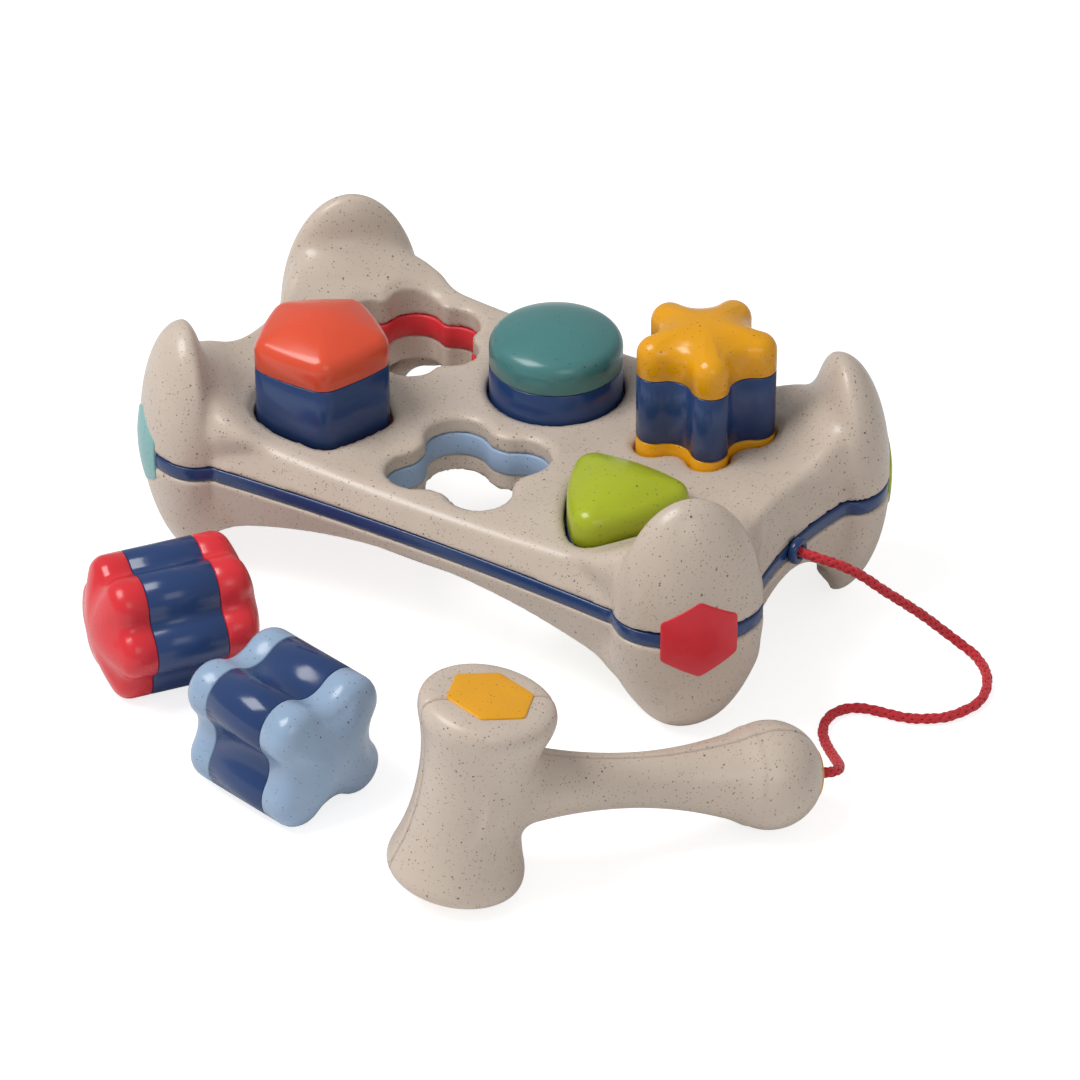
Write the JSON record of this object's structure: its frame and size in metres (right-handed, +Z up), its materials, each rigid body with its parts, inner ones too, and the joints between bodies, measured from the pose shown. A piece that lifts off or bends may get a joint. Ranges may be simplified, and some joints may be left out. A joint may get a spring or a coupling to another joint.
{
  "type": "shape sorter bench",
  "caption": "Speckled beige toy bench with ear-like corners, shaped holes, two-colour plastic blocks and a tethered toy hammer.",
  "frame": {"origin": "on the floor under the middle of the box round everything but the cord", "axes": "+X along the bench towards the end with the cord, +Y towards the back, +Z up"},
  "size_m": [0.3256, 0.2788, 0.1112],
  "materials": {
    "speckled_shell": "fine-grained satin, dark specks in the beige",
    "navy": "smooth gloss",
    "red": "satin",
    "badge_red": "satin",
    "teal": "satin with specks",
    "pale_teal": "satin with specks",
    "yellow": "satin with specks",
    "orange": "satin",
    "light_blue": "satin with specks",
    "green": "satin with specks",
    "soft_red": "soft moulded liner",
    "soft_teal": "soft moulded liner",
    "soft_yellow": "soft moulded liner",
    "soft_orange": "soft moulded liner",
    "soft_light_blue": "soft moulded liner",
    "soft_green": "soft moulded liner",
    "cord": "braided cord",
    "steel": "plated steel"
  },
  "bodies": {
    "bench": {"top_shell": "speckled_shell", "bottom_shell": "speckled_shell", "belt_band": "navy", "grip_insert_red": "soft_red", "grip_insert_teal": "soft_teal", "grip_insert_yellow": "soft_yellow", "grip_insert_orange": "soft_orange", "grip_insert_light_blue": "soft_light_blue", "grip_insert_green": "soft_green", "badge_back_right": "green", "badge_back_left": "yellow", "badge_front_left": "pale_teal", "badge_front_right": "badge_red", "cord_grommet": "navy", "left_end_screw": "steel", "left_screw": "steel", "right_screw": "steel", "right_end_screw": "steel", "bench_cord_knot": "cord", "cord": "cord"},
    "disc_block": {"disc_upper_cap": "teal", "disc_sleeve": "navy", "disc_lower_cap": "teal"},
    "star_block": {"star_upper_cap": "yellow", "star_sleeve": "navy", "star_lower_cap": "yellow"},
    "pentagon_block": {"pentagon_upper_cap": "orange", "pentagon_sleeve": "navy", "pentagon_lower_cap": "orange"},
    "triangle_block": {"triangle_upper_cap": "green", "triangle_sleeve": "navy", "triangle_lower_cap": "green"},
    "flower_block": {"flower_upper_cap": "red", "flower_sleeve": "navy", "flower_lower_cap": "red"},
    "clover_block": {"clover_upper_cap": "light_blue", "clover_sleeve": "navy", "clover_lower_cap": "light_blue"},
    "hammer": {"hammer_near_shell": "speckled_shell", "hammer_far_shell": "speckled_shell", "hammer_top_hexagon": "yellow", "hammer_bottom_hexagon": "yellow", "hammer_butt_cap": "yellow", "hammer_cord_knot": "cord"}
  },
  "joints": [
    {"name": "disc_slide", "type": "slide", "parent": "bench", "child": "disc_block", "axis": [0, 0, 1], "range_m": [-0.0275, 0.039]},
    {"name": "star_slide", "type": "slide", "parent": "bench", "child": "star_block", "axis": [0, 0, 1], "range_m": [-0.0487, 0.0178]},
    {"name": "pentagon_slide", "type": "slide", "parent": "bench", "child": "pentagon_block", "axis": [0, 0, 1], "range_m": [-0.0409, 0.0256]},
    {"name": "triangle_slide", "type": "slide", "parent": "bench", "child": "triangle_block", "axis": [0, 0, 1], "range_m": [-0.0164, 0.0501]},
    {"name": "flower_lift", "type": "slide", "parent": "bench", "child": "flower_block", "axis": [0, 0, 1], "range_m": [0, 0.06]},
    {"name": "clover_lift", "type": "slide", "parent": "bench", "child": "clover_block", "axis": [0, 0, 1], "range_m": [0, 0.06]},
    {"name": "hammer_lift", "type": "slide", "parent": "bench", "child": "hammer", "axis": [0, 0, 1], "range_m": [0, 0.1], "deforming": ["cord"]}
  ]
}
